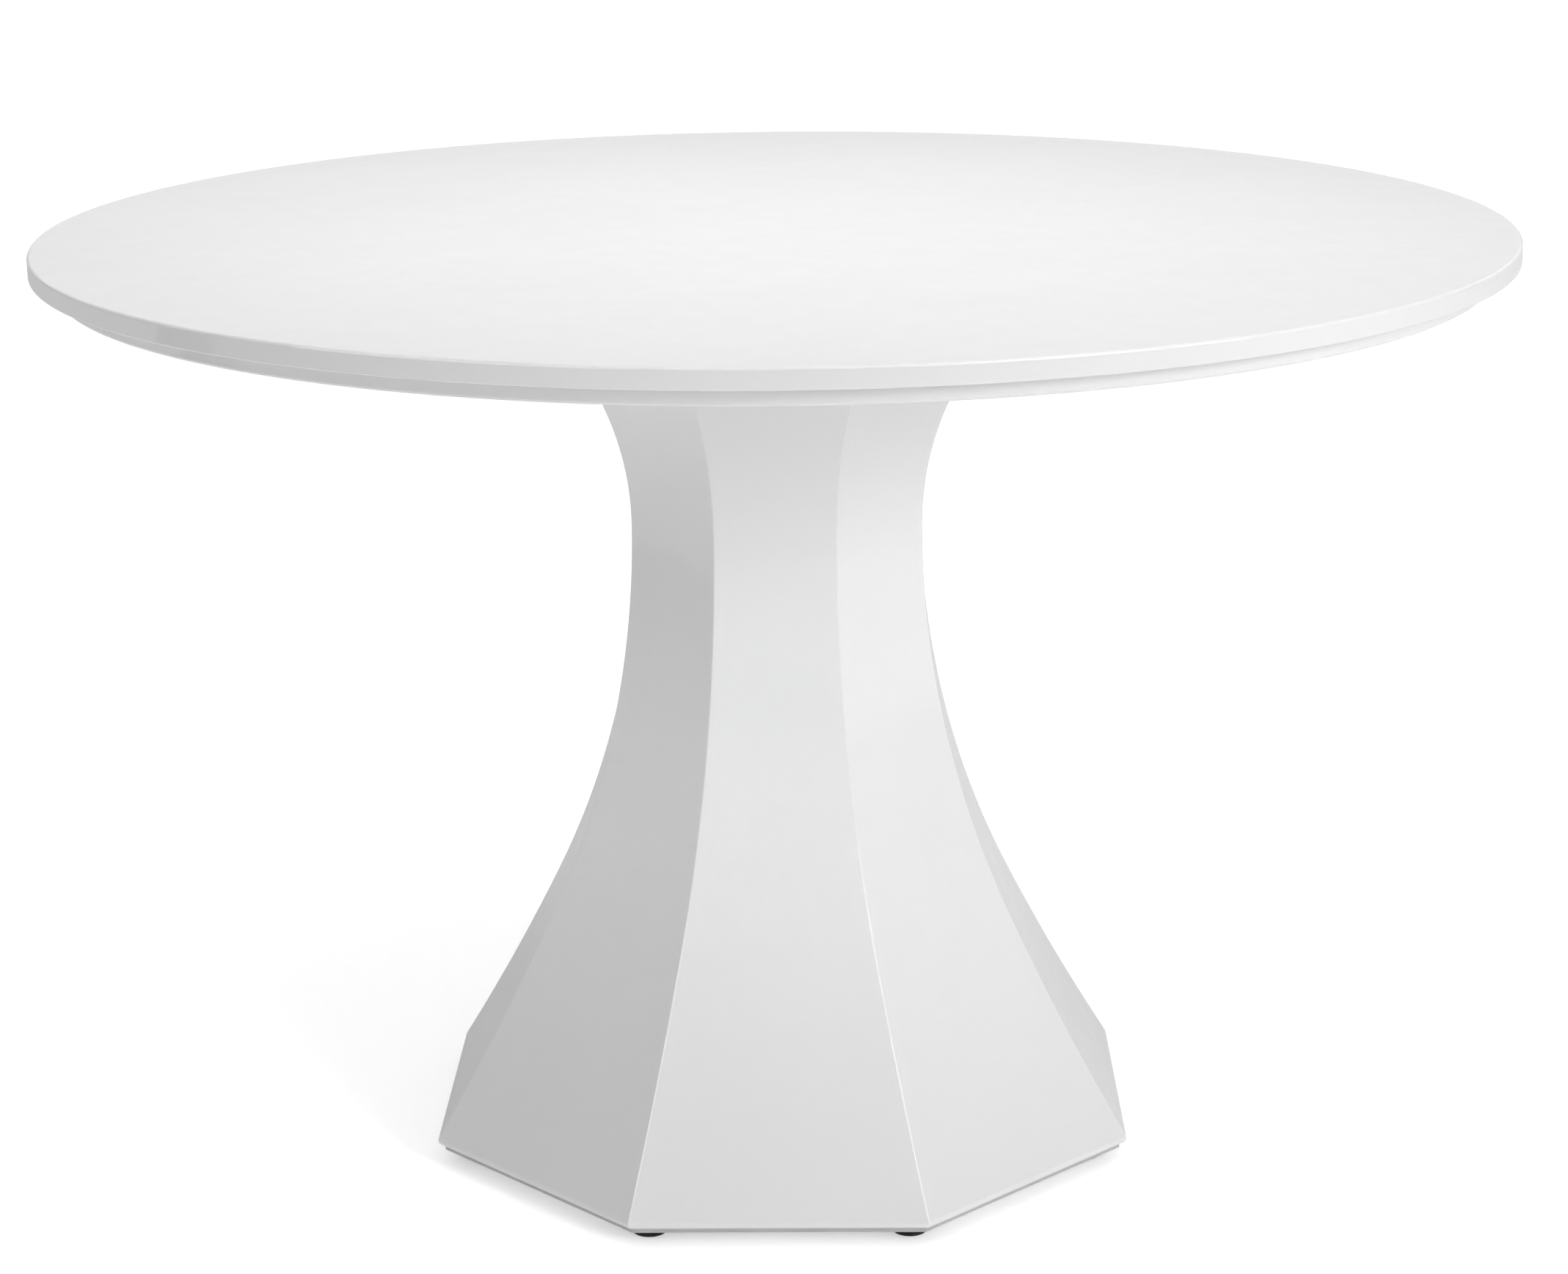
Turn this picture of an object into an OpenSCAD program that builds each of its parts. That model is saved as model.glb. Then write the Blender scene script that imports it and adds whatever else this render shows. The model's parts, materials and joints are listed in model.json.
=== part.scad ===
// Round dining table on a flared octagonal pedestal.
// Eight mitred, curved panels stand on a base board with levelling feet and carry a two-layer round top.
// Millimetres, +Z up. The origin is on the floor, under the centre of the top.

/* [Tabletop] */
// Diameter of the top
top_diameter = 1200; // [1100:10:1400]
// Overall height from the floor to the upper surface
table_height = 775; // [765:1:800]
// Thickness of the upper disc
top_thickness = 16; // [15:1:22]
// Thickness of the recessed lower disc
underlayer_thickness = 15; // [15:1:22]
// How far the lower disc stands back from the rim
underlayer_inset = 21; // [8:1:40]
// Rounding of the top's edges
edge_round = 2.5; // [1:0.5:5]

/* [Pedestal] */
// Distance from the axis to a panel's face at the waist
waist_apothem = 119.5; // [110:0.5:130]
// Height of the waist
waist_height = 536; // [525:1:550]
// Radius of a panel's curve above the waist
head_radius = 260; // [245:5:300]
// Radius of a panel's curve below the waist
shank_radius = 785; // [770:5:850]
// Height at which the curve eases into the skirt
skirt_height = 200; // [180:5:220]
// Radius of a panel's curve in the skirt
skirt_radius = 2150; // [2000:50:2400]
// Thickness of a curved panel
panel_thickness = 15; // [12:1:16]
// Height of the panels' bottom edge
panel_bottom = 16; // [15.5:0.5:18]
// Rounding of the panels' bottom edge
bottom_round = 5; // [3:0.5:6]

/* [Boards] */
// Thickness of the plywood boards
board_thickness = 18; // [16:1:19]
// Diameter of the round board between the pedestal and the top
mounting_diameter = 600; // [580:10:640]
// Height of the underside of the former in the skirt
skirt_former_height = 250; // [220:5:320]
// Distance from the axis to a side of the base board
base_apothem = 284; // [280:0.5:285]
// Height of the glued blocks in the bottom corners
block_height = 40; // [30:1:50]

/* [Feet] */
// Gap between the floor and the base board
foot_gap = 11.5; // [11.5:0.5:13]
// Distance from the axis to a foot
foot_circle = 274; // [262:1:274]
// Diameter of a foot's pad
pad_diameter = 28; // [24:1:32]
// Length of a foot's screw above its collar
stud_length = 30; // [26:1:30]

/* [Hidden] */
$fn = 96;

sides = 8;
side_step = 360 / sides;
lacquer = "#f1f1f0";
primer = "#b9b9b7";
plywood = "burlywood";
beech = "tan";
zinc = "silver";
nylon = "#1c1c1c";

top_radius = top_diameter / 2;
underlayer_radius = top_radius - underlayer_inset;
top_bottom = table_height - top_thickness;
underlayer_bottom = top_bottom - underlayer_thickness;
mounting_bottom = underlayer_bottom - board_thickness;
head_bottom = mounting_bottom - board_thickness;
base_top = foot_gap + board_thickness;
block_top = base_top + block_height;

// The face's curve is three tangent arcs. Each centre is [distance from the axis, height].
lean = asin((waist_height - skirt_height) / shank_radius);
toward_joint = [cos(lean), sin(lean)];
head_centre = [waist_apothem + head_radius, waist_height];
shank_centre = [waist_apothem + shank_radius, waist_height];
skirt_joint = shank_centre - shank_radius * toward_joint;
skirt_centre = skirt_joint + skirt_radius * toward_joint;
curve_fn = 720;
reach = 700;

// A planar board edge stays this far inside the panels' curved backs.
glue_line = 0.5;
// A part stands this far inside the hole that holds it, and a running thread this far inside its nut.
seat_gap = 0.05;

screw_diameter = 4.5;
top_screw_length = 25;
top_screw_rings = [[430, 8], [545, 16]];
mounting_screw_length = 32;
mounting_screw_circle = 140;
base_screw_length = 40;
base_screw_spread = 28;
base_screw_circle = 248;
block_back = 225;
block_width = 110;

bolt_radius = 4;
bolt_circle = 262;
bolt_length = 30;
bolt_head_radius = 7;
bolt_head_height = 5;
bolt_socket_flats = 5;
bolt_socket_depth = 3;
bolt_clearance = 0.5;
washer_radius = 9;
washer_thickness = 1.6;
insert_radius = 6;
insert_length = 13;
insert_flange_radius = 9;
insert_flange_thickness = 1.2;
foot_insert_length = 12;

pad_radius = pad_diameter / 2;
pad_height = 8;
ball_radius = 3.6;
ball_height = 5;
neck_radius = 2.4;
collar_flats = 13;
collar_bottom = 8.9;
collar_gap = 0.1;
block_bore_radius = 4.8;
block_bore_top = 43.5;

// Angle about +Z of side k's outward normal; side 0 faces -Y.
function side_angle(k) = k * side_step - 90;
// Angle about +Z of the corner between side k and side k + 1.
function corner_angle(k) = side_angle(k) + side_step / 2;
// Circumscribed radius of a hexagon that measures flats across.
function hexagon_radius(flats) = flats / 2 / cos(30);
// Distance from the axis, at height z, to an arc about a centre.
function arc_distance(centre, radius, z) = centre.x - sqrt(radius ^ 2 - (centre.y - z) ^ 2);
// Distance from the axis, at height z, to the surface that lies depth inside the panels' faces.
function face_distance(z, depth) =
    z >= waist_height ? arc_distance(head_centre, head_radius + depth, z)
    : z >= skirt_joint.y - depth * sin(lean) ? arc_distance(shank_centre, shank_radius + depth, z)
    : arc_distance(skirt_centre, skirt_radius + depth, z);
// The same for the panels' backs, less the glue line.
function board_distance(z) = face_distance(z, panel_thickness) - glue_line;

module at_side(k, distance, z) rotate(side_angle(k)) translate([distance, 0, z]) children();
module at_corner(k, distance, z) rotate(corner_angle(k)) translate([distance, 0, z]) children();

// Disc that stands on z = 0, with its rim's edges rounded.
module rounded_disc(radius, thickness, round) {
    rotate_extrude() {
        square([radius - round, thickness]);
        translate([0, round]) square([radius, thickness - 2 * round]);
        for (y = [round, thickness - round]) translate([radius - round, y]) circle(round);
    }
}

// Ring between two radii that stands on z = 0.
module ring(outer, inner, height) {
    difference() {
        cylinder(r = outer, h = height);
        translate([0, 0, -1]) cylinder(r = inner, h = height + 2);
    }
}

// Countersunk screw's body. Its head is flush with z = 0 and it points up.
module screw_body(length, grow = 0) {
    shank = screw_diameter / 2 + grow;
    head = screw_diameter + grow;
    rim = 0.5;
    tip = 5;
    rotate_extrude() polygon([
        [0, 0], [head, 0], [head, rim], [shank, rim + head - shank],
        [shank, length - tip], [0.4, length + grow], [0, length + grow]
    ]);
}

// Countersunk wood screw with a cross recess in its head.
module wood_screw(length) {
    recess_width = 0.9;
    recess_length = 4.6;
    recess_depth = 1.8;
    difference() {
        screw_body(length);
        for (turn = [0, 90]) {
            rotate(turn) translate([-recess_length / 2, -recess_width / 2, -1])
                cube([recess_length, recess_width, recess_depth + 1]);
        }
    }
}

// Places of the screws that hold the two layers of the top together.
module at_top_screws() {
    for (ring = top_screw_rings) {
        for (k = [0 : ring[1] - 1]) {
            rotate((k + 0.5) * 360 / ring[1]) translate([ring[0], 0, underlayer_bottom]) children();
        }
    }
}

// Places of the screws that hold the mounting board down on the head board, head up.
module at_mounting_screws() {
    for (k = [0 : sides - 1]) {
        at_corner(k, mounting_screw_circle, underlayer_bottom) mirror([0, 0, 1]) children();
    }
}

// Places of the two screws that go up through the base board into corner block k.
module at_base_screws(k) {
    for (side = [-1, 1]) {
        at_corner(k, base_screw_circle, foot_gap) translate([0, side * base_screw_spread]) children();
    }
}

// Band between two radii about one arc's centre: the panel's section along that arc.
module arc_band(centre, radius) {
    translate(centre) difference() {
        circle(radius + panel_thickness, $fn = curve_fn);
        circle(radius, $fn = curve_fn);
    }
}

// Region below the line through the skirt joint and both lower centres.
module below_joint() {
    translate(shank_centre) rotate(lean) translate([-2 * reach, -2 * reach]) square(2 * reach);
}

// What the rounding takes off the panels' bottom edge.
module bottom_edge_cut() {
    centre_height = panel_bottom + bottom_round;
    centre_distance = arc_distance(skirt_centre, skirt_radius + bottom_round, centre_height);
    centre = [centre_distance, centre_height];
    outward = (skirt_centre - centre) / norm(skirt_centre - centre);
    difference() {
        polygon([
            centre, [centre.x, panel_bottom - 1], [reach, panel_bottom - 1],
            centre + outward * 4 * bottom_round, centre + outward * bottom_round
        ]);
        translate(centre) circle(bottom_round);
    }
}

// A panel's section: x is the distance from the axis and y is the height.
module panel_section() {
    difference() {
        union() {
            intersection() {
                arc_band(head_centre, head_radius);
                translate([0, waist_height]) square([head_centre.x, mounting_bottom - waist_height]);
            }
            intersection() {
                arc_band(shank_centre, shank_radius);
                difference() {
                    square([reach, waist_height]);
                    below_joint();
                }
            }
            intersection() {
                arc_band(skirt_centre, skirt_radius);
                below_joint();
                translate([0, panel_bottom]) square([reach, waist_height]);
            }
        }
        bottom_edge_cut();
    }
}

// Curved panel k: its section drawn sideways, then mitred to half the corner angle on both sides.
module pedestal_panel(k) {
    mitre = reach * tan(side_step / 2);
    color(lacquer) rotate(side_angle(k)) intersection() {
        rotate([90, 0, 0]) linear_extrude(reach, center = true) panel_section();
        linear_extrude(table_height) polygon([[0, 0], [reach, -mitre], [reach, mitre]]);
    }
}

// Octagonal board between heights low and high, with bevelled edges that follow the panels' backs.
module octagonal_board(low, high) {
    low_distance = board_distance(low);
    high_distance = board_distance(high);
    intersection_for (k = [0 : sides / 2 - 1]) {
        rotate(side_angle(k)) rotate([90, 0, 0]) linear_extrude(reach, center = true) polygon([
            [-low_distance, low], [low_distance, low], [high_distance, high], [-high_distance, high]
        ]);
    }
}

// Octagonal prism that stands on z = 0, with flat sides.
module octagonal_prism(apothem, height) {
    intersection_for (turn = [0, side_step]) {
        rotate(turn) translate([-apothem, -apothem, 0]) cube([2 * apothem, 2 * apothem, height]);
    }
}

module tabletop_panel() {
    color(lacquer) difference() {
        translate([0, 0, top_bottom]) rounded_disc(top_radius, top_thickness, edge_round);
        at_top_screws() screw_body(top_screw_length, seat_gap);
    }
}

module tabletop_underlayer() {
    color(lacquer) difference() {
        translate([0, 0, underlayer_bottom]) rounded_disc(underlayer_radius, underlayer_thickness, edge_round);
        at_top_screws() screw_body(top_screw_length, seat_gap);
        for (k = [0 : sides - 1]) {
            at_side(k, bolt_circle, underlayer_bottom - 1) {
                cylinder(r = insert_radius + seat_gap, h = insert_length + seat_gap + 1);
            }
        }
    }
}

module tabletop_screws() {
    color(zinc) at_top_screws() wood_screw(top_screw_length);
}

module tabletop_inserts() {
    color(zinc) for (k = [0 : sides - 1]) {
        at_side(k, bolt_circle, underlayer_bottom) ring(insert_radius, bolt_radius, insert_length);
    }
}

module mounting_board() {
    color(lacquer) difference() {
        translate([0, 0, mounting_bottom]) rounded_disc(mounting_diameter / 2, board_thickness, 1);
        at_mounting_screws() screw_body(mounting_screw_length, seat_gap);
        for (k = [0 : sides - 1]) {
            at_side(k, bolt_circle, mounting_bottom - 1) {
                cylinder(r = bolt_radius + bolt_clearance, h = board_thickness + 2);
            }
        }
    }
}

// Socket-head bolts that point up into the top's inserts.
module mounting_bolts() {
    head_bottom_height = mounting_bottom - washer_thickness - bolt_head_height;
    color(zinc) for (k = [0 : sides - 1]) {
        at_side(k, bolt_circle, head_bottom_height) difference() {
            union() {
                rounded_disc(bolt_head_radius, bolt_head_height, 1);
                cylinder(r = bolt_radius - seat_gap, h = bolt_head_height + bolt_length);
            }
            translate([0, 0, -1]) {
                cylinder(r = hexagon_radius(bolt_socket_flats), h = bolt_socket_depth + 1, $fn = 6);
            }
        }
    }
}

module mounting_washers() {
    color(zinc) for (k = [0 : sides - 1]) {
        at_side(k, bolt_circle, mounting_bottom - washer_thickness) {
            ring(washer_radius, bolt_radius + seat_gap, washer_thickness);
        }
    }
}

module mounting_screws() {
    color(zinc) at_mounting_screws() wood_screw(mounting_screw_length);
}

module head_board() {
    color(plywood) difference() {
        octagonal_board(head_bottom, mounting_bottom);
        at_mounting_screws() screw_body(mounting_screw_length, seat_gap);
    }
}

module waist_former() {
    color(plywood) octagonal_board(waist_height - board_thickness / 2, waist_height + board_thickness / 2);
}

module skirt_former() {
    color(plywood) octagonal_board(skirt_former_height, skirt_former_height + board_thickness);
}

// Its primed lower edge shows as a recessed strip; above that it is rebated to stand inside the panels.
module base_board() {
    color(primer) difference() {
        union() {
            translate([0, 0, foot_gap]) octagonal_prism(base_apothem, panel_bottom - foot_gap);
            octagonal_board(foot_gap, base_top);
        }
        for (k = [0 : sides - 1]) {
            at_base_screws(k) screw_body(base_screw_length, seat_gap);
            at_corner(k, foot_circle, foot_gap) {
                translate([0, 0, -1]) {
                    cylinder(r = insert_flange_radius + seat_gap, h = insert_flange_thickness + 1);
                    cylinder(r = insert_radius + seat_gap, h = foot_insert_length + 1);
                    cylinder(r = block_bore_radius, h = board_thickness + 2);
                }
            }
        }
    }
}

module base_screws() {
    color(zinc) for (k = [0 : sides - 1]) at_base_screws(k) wood_screw(base_screw_length);
}

// Flanged nuts, flush with the underside of the base board, in which the feet's screws turn.
module foot_inserts() {
    color(zinc) for (k = [0 : sides - 1]) {
        at_corner(k, foot_circle, foot_gap) difference() {
            union() {
                cylinder(r = insert_flange_radius, h = insert_flange_thickness);
                cylinder(r = insert_radius, h = foot_insert_length);
            }
            translate([0, 0, -1]) cylinder(r = bolt_radius, h = foot_insert_length + 2);
        }
    }
}

// Glued block in bottom corner k, with a blind bore that the foot's screw rises into.
module corner_block(k) {
    color(beech) difference() {
        intersection() {
            octagonal_board(base_top, block_top);
            at_corner(k, block_back, base_top) translate([0, -block_width / 2, 0]) {
                cube([reach, block_width, block_height]);
            }
        }
        at_corner(k, foot_circle, base_top - 1) {
            cylinder(r = block_bore_radius, h = block_bore_top - base_top + 1);
        }
        at_base_screws(k) screw_body(base_screw_length, seat_gap);
    }
}

// Pad of foot k: it stands on the floor and snaps over the ball of its screw.
module foot_pad(k) {
    chamfer = 0.8;
    shoulder = 5.5;
    crown_radius = 11;
    mouth_radius = neck_radius + 0.5;
    color(nylon) at_corner(k, foot_circle, 0) difference() {
        rotate_extrude() polygon([
            [0, 0], [pad_radius - chamfer, 0], [pad_radius, chamfer],
            [pad_radius, shoulder], [crown_radius, pad_height], [0, pad_height]
        ]);
        translate([0, 0, ball_height]) {
            sphere(ball_radius + seat_gap);
            cylinder(r = mouth_radius, h = pad_height);
        }
    }
}

// Screw of foot k: ball, neck, hexagonal collar and shank, which turns in the base board's insert.
module foot_stud(k) {
    collar_top = foot_gap - collar_gap;
    shank_top = foot_gap + stud_length;
    chamfer = 0.8;
    shank = bolt_radius - seat_gap;
    color(zinc) at_corner(k, foot_circle, 0) union() {
        translate([0, 0, ball_height]) sphere(ball_radius);
        translate([0, 0, ball_height]) cylinder(r = neck_radius, h = collar_bottom - ball_height);
        translate([0, 0, collar_bottom]) {
            cylinder(r = hexagon_radius(collar_flats), h = collar_top - collar_bottom, $fn = 6);
        }
        rotate_extrude() polygon([
            [0, collar_bottom], [shank, collar_bottom], [shank, shank_top - chamfer],
            [shank - chamfer, shank_top], [0, shank_top]
        ]);
    }
}

tabletop_panel();
tabletop_underlayer();
tabletop_screws();
tabletop_inserts();
mounting_board();
mounting_bolts();
mounting_washers();
mounting_screws();
head_board();
waist_former();
skirt_former();
base_board();
base_screws();
foot_inserts();
for (k = [0 : sides - 1]) {
    pedestal_panel(k);
    corner_block(k);
    foot_pad(k);
    foot_stud(k);
}
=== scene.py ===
import json
import math

import bpy
from mathutils import Matrix, Vector
from mathutils.geometry import tessellate_polygon


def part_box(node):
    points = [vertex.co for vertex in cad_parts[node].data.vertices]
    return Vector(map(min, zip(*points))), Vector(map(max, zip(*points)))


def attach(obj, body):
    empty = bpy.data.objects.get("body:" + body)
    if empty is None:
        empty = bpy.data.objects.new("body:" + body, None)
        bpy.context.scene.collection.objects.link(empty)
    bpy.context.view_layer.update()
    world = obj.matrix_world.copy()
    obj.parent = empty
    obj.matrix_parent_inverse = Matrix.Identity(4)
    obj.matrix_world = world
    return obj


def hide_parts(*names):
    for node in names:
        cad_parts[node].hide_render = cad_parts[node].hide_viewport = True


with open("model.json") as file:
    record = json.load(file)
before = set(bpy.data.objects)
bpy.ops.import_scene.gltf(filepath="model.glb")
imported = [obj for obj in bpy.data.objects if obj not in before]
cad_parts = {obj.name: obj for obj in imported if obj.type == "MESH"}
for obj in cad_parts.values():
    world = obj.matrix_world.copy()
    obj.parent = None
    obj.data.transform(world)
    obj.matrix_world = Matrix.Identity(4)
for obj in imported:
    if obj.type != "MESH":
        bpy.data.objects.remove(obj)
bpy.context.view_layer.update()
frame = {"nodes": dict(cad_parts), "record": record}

# ---------------------------------------------------------------- dimensions, in metres and radians

SIDES = 8
HALF_CORNER = math.pi / SIDES
MITRE = math.tan(HALF_CORNER)

# The CAD's boxes of the boards and panels that are made again here.
TOP_LOW, TOP_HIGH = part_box("tabletop_panel")
UNDER_LOW, UNDER_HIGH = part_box("tabletop_underlayer")
MOUNT_LOW, MOUNT_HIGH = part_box("mounting_board")
PANEL_LOW, PANEL_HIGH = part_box("pedestal_panel_1")
BASE_LOW, BASE_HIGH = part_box("base_board")

# The panels' curve: three tangent arcs, for the head, the shank below the waist and the skirt.
WAIST_APOTHEM = 0.1195
WAIST_HEIGHT = 0.536
HEAD_RADIUS = 0.260
SHANK_RADIUS = 0.785
SKIRT_HEIGHT = 0.200
SKIRT_RADIUS = 2.150
PANEL_THICKNESS = 0.015
BOTTOM_ROUND = 0.005
ARRIS_ROUND = 0.002
GLUE_LINE = 0.0005

# Rounded edges: the two discs', the upper disc's lower one, and those of the mounting and base boards.
EDGE_ROUND = 0.0025
LOWER_ROUND = 0.001
BOARD_ROUND = 0.001

# Feet: the pad with its groove and socket, and the stud with its ball, neck, hexagonal collar and thread.
FOOT_CIRCLE = 0.274
PAD_RADIUS = 0.014
PAD_HEIGHT = 0.008
PAD_SHOULDER = 0.0050
PAD_SHOULDER_ROUND = 0.0006
PAD_CROWN_RADIUS = 0.011
SOLE_ROUND = 0.0008
GROOVE_LOW = 0.0026
GROOVE_HIGH = 0.0036
GROOVE_DEPTH = 0.0004
GROOVE_BEVEL = 0.0003
MOUTH_GAP = 0.0005
BALL_HEIGHT = 0.005
BALL_RADIUS = 0.0036
NECK_RADIUS = 0.0024
COLLAR_SIDES = 6
COLLAR_FLATS = 0.013
COLLAR_BOTTOM = 0.0089
COLLAR_GAP = 0.0001
THREAD_RADIUS = 0.00395
THREAD_DEPTH = 0.0007
THREAD_PITCH = 0.00125
THREAD_RUNOUT = 1.5 * THREAD_PITCH
THREAD_CHAMFER = 0.0008

# Fasteners, and the holes that they sit in.
SEAT_GAP = 0.00005
SCREW_RADIUS = 0.00225
SCREW_HEAD_RADIUS = 0.0045
SCREW_RIM = 0.0005
TOP_SCREW_LENGTH = 0.025
TOP_SCREW_RINGS = [(0.430, 8), (0.545, 16)]
MOUNTING_SCREW_CIRCLE = 0.140
BASE_SCREW_CIRCLE = 0.248
BASE_SCREW_SPREAD = 0.028
BOLT_CIRCLE = 0.262
BOLT_HOLE_RADIUS = 0.0045
INSERT_RADIUS = 0.006
INSERT_LENGTH = 0.013
FLANGE_RADIUS = 0.009
FLANGE_THICKNESS = 0.0012
FOOT_INSERT_LENGTH = 0.012
FOOT_BORE_RADIUS = 0.0048

# How finely shapes are cut: segments round a whole turn, and steps along a section.
DISC_SEGMENTS = 768
BOARD_SEGMENTS = 256
PAD_SEGMENTS = 64
STUD_SEGMENTS = 32
HOLE_SEGMENTS = 32
EDGE_STEPS = 12
BALL_STEPS = 12
HEAD_STEPS = 28
SHANK_STEPS = 28
SKIRT_STEPS = 12
NOSE_STEPS = 8
CORNER_STEPS = 5
BASE_EDGE_STEPS = 4
SOLE_STEPS = 6
SHOULDER_STEPS = 4
STEPS_PER_PITCH = 8

UP = Vector((0, 0, 1))
DOWN = Vector((0, 0, -1))


def side_angle(k):
    """Angle about +Z of side k's outward normal; side 0 faces -Y."""
    return k * 2 * math.pi / SIDES - math.pi / 2


def corner_angle(k):
    """Angle about +Z of the corner between sides k and k + 1."""
    return side_angle(k) + HALF_CORNER


def polar(radius, angle, z=0.0):
    return Vector((radius * math.cos(angle), radius * math.sin(angle), z))


def flat(vector):
    return vector.x, vector.y


# ---------------------------------------------------------------- meshes

class Skin:
    """Faces with a normal at each corner. Corners that round to the same place share one vertex."""

    STEPS_PER_METRE = 1e7

    def __init__(self):
        self.points = []
        self.places = {}
        self.faces = []
        self.normals = []

    def vertex(self, point):
        place = tuple(round(c * self.STEPS_PER_METRE) for c in point)
        if place not in self.places:
            self.places[place] = len(self.points)
            self.points.append(tuple(point))
        return self.places[place]

    def face(self, corners):
        """Adds one face from (point, normal) pairs, turned so that it looks the way its normals do."""
        ring = []
        for point, normal in corners:
            vertex = self.vertex(point)
            if all(vertex != other for other, _ in ring):
                ring.append((vertex, Vector(normal).normalized()))
        if len(ring) < 3:
            return
        facing = Vector()
        for (a, _), (b, _) in zip(ring, ring[1:] + ring[:1]):
            facing += Vector(self.points[a]).cross(Vector(self.points[b]))
        if facing.dot(sum((n for _, n in ring), Vector())) < 0:
            ring.reverse()
        self.faces.append([vertex for vertex, _ in ring])
        self.normals.extend(normal for _, normal in ring)

    def grid(self, rows, closed=False):
        """Faces between rows of corners. closed joins each row's end to its start."""
        for low, high in zip(rows, rows[1:]):
            count = len(low)
            for j in range(count if closed else count - 1):
                k = (j + 1) % count
                self.face([low[j], low[k], high[k], high[j]])

    def sheet(self, outline, holes, normal):
        """A flat face with holes in it. outline and holes are rings of points."""
        rings = [outline, *holes]
        points = [Vector(p) for ring in rings for p in ring]
        for triangle in tessellate_polygon(rings):
            self.face([(points[i], normal) for i in triangle])

    def make(self, node, body, slot):
        """Makes the mesh object, on its body, in place of its CAD node."""
        name = node + "_finished"
        mesh = bpy.data.meshes.new(name)
        mesh.from_pydata(self.points, [], self.faces)
        mesh.polygons.foreach_set("use_smooth", [True] * len(mesh.polygons))
        mesh.normals_split_custom_set(self.normals)
        mesh.materials.append(MATERIALS[slot])
        piece = bpy.data.objects.new(name, mesh)
        bpy.context.scene.collection.objects.link(piece)
        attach(piece, body)
        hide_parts(node)


def arc(centre, radius, start, end, count):
    """Points of an arc in a section, each (distance, z, normal's distance, normal's z)."""
    angles = [start + (end - start) * i / count for i in range(count + 1)]
    return [
        (centre[0] + radius * math.cos(a), centre[1] + radius * math.sin(a), math.cos(a), math.sin(a))
        for a in angles
    ]


def steps(points, inward=False):
    """Straight strokes between (radius, z) points. The solid is on their left, or right if inward."""
    strokes = []
    for (r0, z0), (r1, z1) in zip(points, points[1:]):
        normal = (z0 - z1, r1 - r0) if inward else (z1 - z0, r0 - r1)
        strokes.append([(r0, z0, *normal), (r1, z1, *normal)])
    return strokes


def turn(skin, strokes, count, centre=(0.0, 0.0)):
    """Turns strokes about a vertical axis."""
    for stroke in strokes:
        rows = []
        for radius, z, normal_r, normal_z in stroke:
            row = []
            for i in range(count):
                angle = 2 * math.pi * i / count
                point = polar(radius, angle, z) + Vector((*centre, 0.0))
                row.append((point, polar(normal_r, angle, normal_z)))
            rows.append(row)
        skin.grid(rows, closed=True)


def ring_points(radius, z, count, centre=(0.0, 0.0)):
    return [polar(radius, 2 * math.pi * i / count, z) + Vector((*centre, 0.0)) for i in range(count)]


def octagon_rows(stroke):
    """Rows of corners round an octagon with rounded corners, one for each point of a section's stroke."""
    rows = []
    for apothem, z, normal_a, normal_z in stroke:
        row = []
        for k in range(SIDES):
            for i in range(CORNER_STEPS + 1):
                swing = 2 * HALF_CORNER * i / CORNER_STEPS
                angle = side_angle(k) + swing
                centre = polar((apothem - ARRIS_ROUND) / math.cos(HALF_CORNER), corner_angle(k), z)
                row.append((centre + polar(ARRIS_ROUND, angle), polar(normal_a, angle, normal_z)))
        rows.append(row)
    return rows


def screw_hole(low, high, head_low=True):
    """Section of a countersunk hole from height low to high, its head at one end."""
    head, shank = SCREW_HEAD_RADIUS + SEAT_GAP, SCREW_RADIUS + SEAT_GAP
    if head_low:
        rim = low + SCREW_RIM
        return [(head, low), (head, rim), (shank, rim + head - shank), (shank, high)]
    rim = high - SCREW_RIM
    return [(shank, low), (shank, rim - head + shank), (head, rim), (head, high)]


def blind_hole(radius, low, end):
    """Section of a hole from height low up to a flat end, a seat's gap wider than what fills it."""
    bore = radius + SEAT_GAP
    return [(bore, low), (bore, end), (0.0, end)]


def drill(skin, section, centre):
    """A hole's wall. section goes up from the lower face, and ends on the axis if the hole is blind."""
    turn(skin, steps(section, inward=True), HOLE_SEGMENTS, centre)


def hole_rings(holes, z):
    """The rings that holes, (section, centre) pairs, cut in the face at height z."""
    rings = []
    for section, centre in holes:
        for radius, height in (section[0], section[-1]):
            if radius > 0 and math.isclose(height, z, abs_tol=1 / Skin.STEPS_PER_METRE):
                rings.append(ring_points(radius, z, HOLE_SEGMENTS, centre))
    return rings


def round_board(node, low, high, low_round, high_round, holes, segments):
    """A disc with rounded edges and holes that start in its lower face."""
    skin = Skin()
    radius = high.x
    quarter = math.pi / 2
    edge = arc((radius - low_round, low.z + low_round), low_round, -quarter, 0, EDGE_STEPS)
    edge += arc((radius - high_round, high.z - high_round), high_round, 0, quarter, EDGE_STEPS)
    turn(skin, [edge], segments)
    for z, inset, normal in ((low.z, low_round, DOWN), (high.z, high_round, UP)):
        skin.sheet(ring_points(radius - inset, z, segments), hole_rings(holes, z), normal)
    for section, centre in holes:
        drill(skin, section, centre)
    skin.make(node, "frame", "white_lacquer")


# ---------------------------------------------------------------- materials

def new_material(name):
    material = bpy.data.materials.new(name)
    material.use_nodes = True
    return material, material.node_tree.nodes, material.node_tree.links


def object_space(nodes, links, scale=(1.0, 1.0, 1.0)):
    """Object coordinates, in metres, multiplied by scale."""
    place = nodes.new("ShaderNodeTexCoord")
    mapping = nodes.new("ShaderNodeMapping")
    mapping.inputs["Scale"].default_value = scale
    links.new(place.outputs["Object"], mapping.inputs["Vector"])
    return mapping.outputs["Vector"]


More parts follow.
